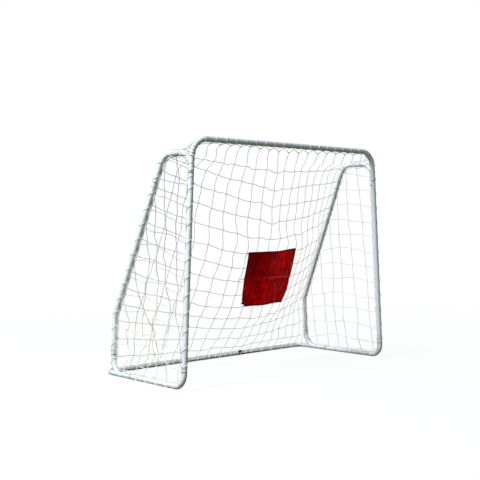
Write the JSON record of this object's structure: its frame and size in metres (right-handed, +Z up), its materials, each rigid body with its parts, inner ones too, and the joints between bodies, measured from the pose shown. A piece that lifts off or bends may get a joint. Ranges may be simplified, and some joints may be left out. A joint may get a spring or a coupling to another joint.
{
  "type": "street hockey goal",
  "caption": "Free-standing street hockey goal: white bent-tube frame that plugs together with spring buttons, knotted net that hangs slack, and a cloth target tied to its middle.",
  "frame": {"origin": "below the middle of the whole, on the ground", "axes": "+Z up, -Y out of the goal's mouth towards the player, +X to the right of a player who looks in"},
  "size_m": [1.3761, 0.6352, 1.1182],
  "materials": {
    "white_paint": "white powder coat, semi-gloss",
    "black_plastic": "moulded, matt",
    "net_twine": "braided white twine",
    "target_cloth": "woven, dark red",
    "tie_cord": "white cord",
    "button_steel": "zinc plated",
    "spring_steel": "bare spring steel"
  },
  "bodies": {
    "goal": {"crossbar_left": "white_paint", "crossbar_right": "white_paint", "post_left": "white_paint", "post_right": "white_paint", "side_arch_left": "white_paint", "side_arch_right": "white_paint", "rear_leg_left": "white_paint", "rear_leg_right": "white_paint", "base_rail_left": "white_paint", "base_rail_right": "white_paint", "heel_bend_left": "white_paint", "heel_bend_right": "white_paint", "ground_bar_left": "white_paint", "ground_bar_right": "white_paint", "ground_bar_centre": "white_paint", "bar_connector_left": "black_plastic", "bar_connector_right": "black_plastic", "net_back": "net_twine", "net_side_left": "net_twine", "net_side_right": "net_twine", "target_patch": "target_cloth", "target_ties": "tie_cord", "button_springs": "spring_steel"},
    "button_post_top_left": {"button_post_top_left": "button_steel"},
    "button_post_top_right": {"button_post_top_right": "button_steel"},
    "button_leg_top_left": {"button_leg_top_left": "button_steel"},
    "button_leg_top_right": {"button_leg_top_right": "button_steel"},
    "button_foot_left": {"button_foot_left": "button_steel"},
    "button_foot_right": {"button_foot_right": "button_steel"},
    "button_heel_left": {"button_heel_left": "button_steel"},
    "button_heel_right": {"button_heel_right": "button_steel"},
    "button_rail_left": {"button_rail_left": "button_steel"},
    "button_rail_right": {"button_rail_right": "button_steel"},
    "button_crossbar": {"button_crossbar": "button_steel"}
  },
  "joints": [
    {"name": "button_post_top_left_press", "type": "slide", "parent": "goal", "child": "button_post_top_left", "axis": [0.9984, 0, -0.0558], "range_m": [0, 0.0055], "stiffness_N_per_m": 2200, "springref_m": -0.0015, "deforming": ["button_springs"]},
    {"name": "button_post_top_right_press", "type": "slide", "parent": "goal", "child": "button_post_top_right", "axis": [0.9984, 0, 0.0558], "range_m": [0, 0.0055], "stiffness_N_per_m": 2200, "springref_m": -0.0015, "deforming": ["button_springs"]},
    {"name": "button_leg_top_left_press", "type": "slide", "parent": "goal", "child": "button_leg_top_left", "axis": [0.9984, 0, -0.0558], "range_m": [0, 0.0055], "stiffness_N_per_m": 2200, "springref_m": -0.0015, "deforming": ["button_springs"]},
    {"name": "button_leg_top_right_press", "type": "slide", "parent": "goal", "child": "button_leg_top_right", "axis": [0.9984, 0, 0.0558], "range_m": [0, 0.0055], "stiffness_N_per_m": 2200, "springref_m": -0.0015, "deforming": ["button_springs"]},
    {"name": "button_foot_left_press", "type": "slide", "parent": "goal", "child": "button_foot_left", "axis": [0.9984, 0, -0.0558], "range_m": [0, 0.0055], "stiffness_N_per_m": 2200, "springref_m": -0.0015, "deforming": ["button_springs"]},
    {"name": "button_foot_right_press", "type": "slide", "parent": "goal", "child": "button_foot_right", "axis": [0.9984, 0, 0.0558], "range_m": [0, 0.0055], "stiffness_N_per_m": 2200, "springref_m": -0.0015, "deforming": ["button_springs"]},
    {"name": "button_heel_left_press", "type": "slide", "parent": "goal", "child": "button_heel_left", "axis": [0.9984, 0, -0.0558], "range_m": [0, 0.0055], "stiffness_N_per_m": 2200, "springref_m": -0.0015, "deforming": ["button_springs"]},
    {"name": "button_heel_right_press", "type": "slide", "parent": "goal", "child": "button_heel_right", "axis": [0.9984, 0, 0.0558], "range_m": [0, 0.0055], "stiffness_N_per_m": 2200, "springref_m": -0.0015, "deforming": ["button_springs"]},
    {"name": "button_rail_left_press", "type": "slide", "parent": "goal", "child": "button_rail_left", "axis": [0.9984, 0, -0.0558], "range_m": [0, 0.0055], "stiffness_N_per_m": 2200, "springref_m": -0.0015, "deforming": ["button_springs"]},
    {"name": "button_rail_right_press", "type": "slide", "parent": "goal", "child": "button_rail_right", "axis": [0.9984, 0, 0.0558], "range_m": [0, 0.0055], "stiffness_N_per_m": 2200, "springref_m": -0.0015, "deforming": ["button_springs"]},
    {"name": "button_crossbar_press", "type": "slide", "parent": "goal", "child": "button_crossbar", "axis": [0, -1, 0], "range_m": [0, 0.0055], "stiffness_N_per_m": 2200, "springref_m": -0.0015, "deforming": ["button_springs"]}
  ]
}
